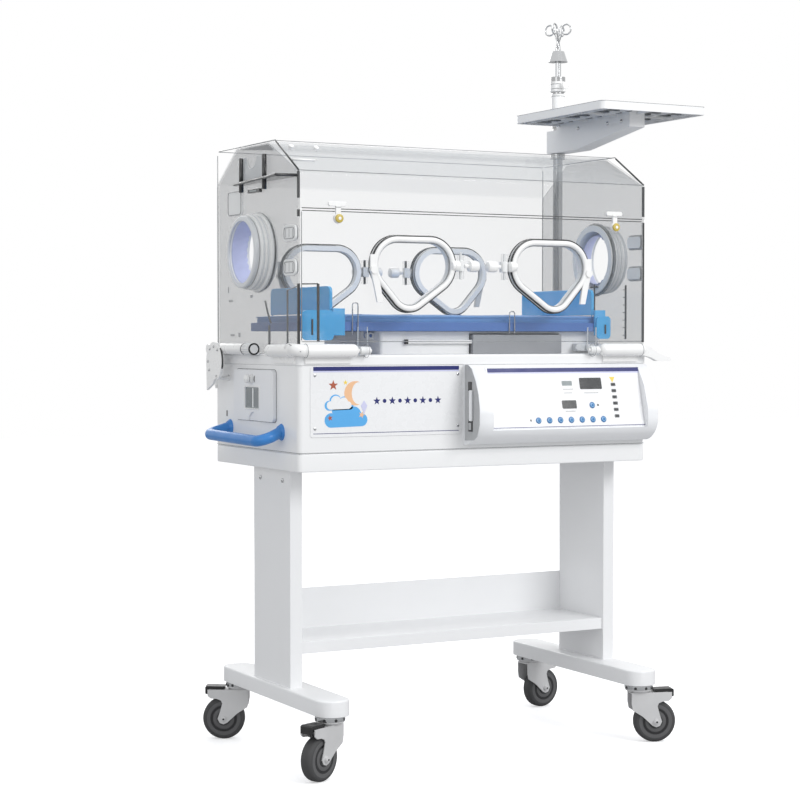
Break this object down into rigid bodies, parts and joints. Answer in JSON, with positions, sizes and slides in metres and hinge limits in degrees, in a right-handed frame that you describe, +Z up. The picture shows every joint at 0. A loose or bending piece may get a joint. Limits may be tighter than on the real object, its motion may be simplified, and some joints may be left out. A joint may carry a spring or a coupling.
{
  "type": "infant incubator",
  "caption": "Closed care incubator on a castor stand: clear hood with arm ports over a tilting bed, warm-air cabinet, control panel, shelf and tray mast.",
  "frame": {"origin": "on the floor under the middle of the stand", "axes": "+X along the cabinet to its right end, +Y to the back, +Z up; the controls face -Y"},
  "size_m": [1.1735, 0.5982, 1.7722],
  "materials": {
    "white_enamel": "satin",
    "pale_grey_enamel": "satin",
    "housing_plastic": "satin",
    "panel_film": "satin",
    "deck_plastic": "satin",
    "clear_acrylic": "clear",
    "blue_acrylic": "tinted",
    "white_plastic": "satin",
    "amber_plastic": "satin",
    "blue_enamel": "gloss",
    "bed_blue": "satin",
    "bed_cover": "woven",
    "silicone": "satin",
    "tyre_rubber": "matt",
    "pedal_black": "matt",
    "zinc_plate": "zinc plated",
    "steel_tube": "brushed",
    "fan_aluminium": "as cast",
    "smoked_acrylic": "smoked",
    "tank_plastic": "translucent"
  },
  "bodies": {
    "stand": {"leg_left": "pale_grey_enamel", "leg_right": "pale_grey_enamel", "storage_shelf": "pale_grey_enamel", "base_frame": "white_enamel", "cabinet_shell": "white_enamel", "deck": "deck_plastic", "front_fascia": "panel_film", "push_handles": "blue_enamel", "control_housing": "housing_plastic", "control_panel": "panel_film", "service_panel": "housing_plastic", "air_heater": "steel_tube", "fan_motor": "fan_aluminium", "hinge_brackets": "white_plastic", "mast": "steel_tube", "bed_platform": "deck_plastic"},
    "fork_front_left": {"castor_fork_front_left": "zinc_plate"},
    "wheel_front_left": {"castor_wheel_front_left": "tyre_rubber"},
    "pedal_front_left": {"castor_pedal_front_left": "pedal_black"},
    "fork_front_right": {"castor_fork_front_right": "zinc_plate"},
    "wheel_front_right": {"castor_wheel_front_right": "tyre_rubber"},
    "pedal_front_right": {"castor_pedal_front_right": "pedal_black"},
    "fork_rear_left": {"castor_fork_rear_left": "zinc_plate"},
    "wheel_rear_left": {"castor_wheel_rear_left": "tyre_rubber"},
    "pedal_rear_left": {"castor_pedal_rear_left": "pedal_black"},
    "fork_rear_right": {"castor_fork_rear_right": "zinc_plate"},
    "wheel_rear_right": {"castor_wheel_rear_right": "tyre_rubber"},
    "pedal_rear_right": {"castor_pedal_rear_right": "pedal_black"},
    "fan": {"fan_impeller": "fan_aluminium"},
    "drawer": {"water_drawer": "housing_plastic", "water_tank": "tank_plastic"},
    "knob": {"drawer_knob": "white_plastic"},
    "hood": {"hood_shell": "clear_acrylic", "end_panels": "clear_acrylic", "tube_grommets": "silicone", "hood_port_frames": "silicone", "hood_hinge_arms": "white_plastic", "tubing_holder": "smoked_acrylic"},
    "ring_left": {"iris_ring_left": "white_plastic"},
    "ring_right": {"iris_ring_right": "white_plastic"},
    "door": {"front_door": "clear_acrylic", "front_port_frames": "silicone"},
    "door_latch_left": {"door_latch_left": "amber_plastic"},
    "door_latch_right": {"door_latch_right": "amber_plastic"},
    "port_front_left": {"port_door_front_left": "clear_acrylic"},
    "latch_front_left": {"port_latch_front_left": "white_plastic"},
    "port_front_right": {"port_door_front_right": "clear_acrylic"},
    "latch_front_right": {"port_latch_front_right": "white_plastic"},
    "port_rear_left": {"port_door_rear_left": "clear_acrylic"},
    "latch_rear_left": {"port_latch_rear_left": "white_plastic"},
    "port_rear_right": {"port_door_rear_right": "clear_acrylic"},
    "latch_rear_right": {"port_latch_rear_right": "white_plastic"},
    "arm": {"tray_arm": "white_enamel", "equipment_tray": "white_enamel"},
    "rod": {"infusion_rod": "steel_tube"},
    "bed": {"bed_tray": "bed_blue", "mattress": "bed_cover", "bed_end_panels": "blue_acrylic"},
    "cassette": {"cassette_drawer": "steel_tube"}
  },
  "joints": [
    {"name": "swivel_front_left", "type": "hinge", "parent": "stand", "child": "fork_front_left", "pos_m": [-0.409, -0.244, 0.139], "axis": [0, 0, 1], "continuous": true},
    {"name": "roll_front_left", "type": "hinge", "parent": "fork_front_left", "child": "wheel_front_left", "pos_m": [-0.44344, -0.26006, 0.05], "axis": [0.4226, -0.9063, 0], "continuous": true},
    {"name": "brake_front_left", "type": "hinge", "parent": "fork_front_left", "child": "pedal_front_left", "pos_m": [-0.45069, -0.26344, 0.115], "axis": [0.4226, -0.9063, 0], "range_deg": [0, 12]},
    {"name": "swivel_front_right", "type": "hinge", "parent": "stand", "child": "fork_front_right", "pos_m": [0.409, -0.244, 0.139], "axis": [0, 0, 1], "continuous": true},
    {"name": "roll_front_right", "type": "hinge", "parent": "fork_front_right", "child": "wheel_front_right", "pos_m": [0.44471, -0.257, 0.05], "axis": [0.342, 0.9397, 0], "continuous": true},
    {"name": "brake_front_right", "type": "hinge", "parent": "fork_front_right", "child": "pedal_front_right", "pos_m": [0.45223, -0.25973, 0.115], "axis": [0.342, 0.9397, 0], "range_deg": [0, 12]},
    {"name": "swivel_rear_left", "type": "hinge", "parent": "stand", "child": "fork_rear_left", "pos_m": [-0.409, 0.244, 0.139], "axis": [0, 0, 1], "continuous": true},
    {"name": "roll_rear_left", "type": "hinge", "parent": "fork_rear_left", "child": "wheel_rear_left", "pos_m": [-0.44255, 0.26184, 0.05], "axis": [-0.4695, -0.8829, 0], "continuous": true},
    {"name": "brake_rear_left", "type": "hinge", "parent": "fork_rear_left", "child": "pedal_rear_left", "pos_m": [-0.44962, 0.2656, 0.115], "axis": [-0.4695, -0.8829, 0], "range_deg": [0, 12]},
    {"name": "swivel_rear_right", "type": "hinge", "parent": "stand", "child": "fork_rear_right", "pos_m": [0.409, 0.244, 0.139], "axis": [0, 0, 1], "continuous": true},
    {"name": "roll_rear_right", "type": "hinge", "parent": "fork_rear_right", "child": "wheel_rear_right", "pos_m": [0.44663, 0.24929, 0.05], "axis": [-0.1392, 0.9903, 0], "continuous": true},
    {"name": "brake_rear_right", "type": "hinge", "parent": "fork_rear_right", "child": "pedal_rear_right", "pos_m": [0.45455, 0.2504, 0.115], "axis": [-0.1392, 0.9903, 0], "range_deg": [0, 12]},
    {"name": "fan_spin", "type": "hinge", "parent": "stand", "child": "fan", "pos_m": [0.12, 0.036, 0.8], "axis": [0, 0, 1], "continuous": true},
    {"name": "drawer_slide", "type": "slide", "parent": "stand", "child": "drawer", "axis": [-1, 0, 0], "range_m": [0, 0.12]},
    {"name": "knob_turn", "type": "hinge", "parent": "drawer", "child": "knob", "pos_m": [-0.468, 0.036, 0.867], "axis": [-1, 0, 0], "range_deg": [0, 90]},
    {"name": "hood_tilt", "type": "hinge", "parent": "stand", "child": "hood", "pos_m": [0, 0.292, 0.934], "axis": [-1, 0, 0], "range_deg": [0, 22]},
    {"name": "ring_left_turn", "type": "hinge", "parent": "hood", "child": "ring_left", "pos_m": [-0.5, 0.02, 1.154], "axis": [-1, 0, 0], "range_deg": [0, 120]},
    {"name": "ring_right_turn", "type": "hinge", "parent": "hood", "child": "ring_right", "pos_m": [0.5, 0.02, 1.154], "axis": [1, 0, 0], "range_deg": [0, 120]},
    {"name": "door_fold", "type": "hinge", "parent": "stand", "child": "door", "pos_m": [0, -0.207, 0.932], "axis": [1, 0, 0], "range_deg": [0, 90]},
    {"name": "door_latch_turn_left", "type": "hinge", "parent": "door", "child": "door_latch_left", "pos_m": [-0.366, -0.1994, 1.222], "axis": [0, -1, 0], "range_deg": [0, 80]},
    {"name": "door_latch_turn_right", "type": "hinge", "parent": "door", "child": "door_latch_right", "pos_m": [0.366, -0.1994, 1.222], "axis": [0, 1, 0], "range_deg": [0, 80]},
    {"name": "port_swing_front_left", "type": "hinge", "parent": "door", "child": "port_front_left", "pos_m": [-0.058, -0.2037, 1.123], "axis": [0, 0, 1], "range_deg": [0, 95]},
    {"name": "port_latch_turn_front_left", "type": "hinge", "parent": "port_front_left", "child": "latch_front_left", "pos_m": [-0.284, -0.2064, 1.111], "axis": [0, -1, 0], "range_deg": [0, 30]},
    {"name": "port_swing_front_right", "type": "hinge", "parent": "door", "child": "port_front_right", "pos_m": [0.058, -0.2037, 1.123], "axis": [0, 0, -1], "range_deg": [0, 95]},
    {"name": "port_latch_turn_front_right", "type": "hinge", "parent": "port_front_right", "child": "latch_front_right", "pos_m": [0.284, -0.2064, 1.111], "axis": [0, 1, 0], "range_deg": [0, 30]},
    {"name": "port_swing_rear_left", "type": "hinge", "parent": "hood", "child": "port_rear_left", "pos_m": [-0.058, 0.2713, 1.123], "axis": [0, 0, -1], "range_deg": [0, 95]},
    {"name": "port_latch_turn_rear_left", "type": "hinge", "parent": "port_rear_left", "child": "latch_rear_left", "pos_m": [-0.284, 0.274, 1.111], "axis": [0, -1, 0], "range_deg": [0, 30]},
    {"name": "port_swing_rear_right", "type": "hinge", "parent": "hood", "child": "port_rear_right", "pos_m": [0.058, 0.2713, 1.123], "axis": [0, 0, 1], "range_deg": [0, 95]},
    {"name": "port_latch_turn_rear_right", "type": "hinge", "parent": "port_rear_right", "child": "latch_rear_right", "pos_m": [0.284, 0.274, 1.111], "axis": [0, 1, 0], "range_deg": [0, 30]},
    {"name": "tray_swing", "type": "hinge", "parent": "stand", "child": "arm", "pos_m": [0.49, 0.24, 1.47], "axis": [0, 0, 1], "range_deg": [-90, 90]},
    {"name": "rod_slide", "type": "slide", "parent": "stand", "child": "rod", "axis": [0, 0, 1], "range_m": [0, 0.25]},
    {"name": "bed_tilt", "type": "hinge", "parent": "stand", "child": "bed", "pos_m": [-0.223, 0.036, 0.9654], "axis": [0, -1, 0], "range_deg": [0, 6]},
    {"name": "cassette_slide", "type": "slide", "parent": "stand", "child": "cassette", "axis": [0, -1, 0], "range_m": [0, 0.05]}
  ]
}
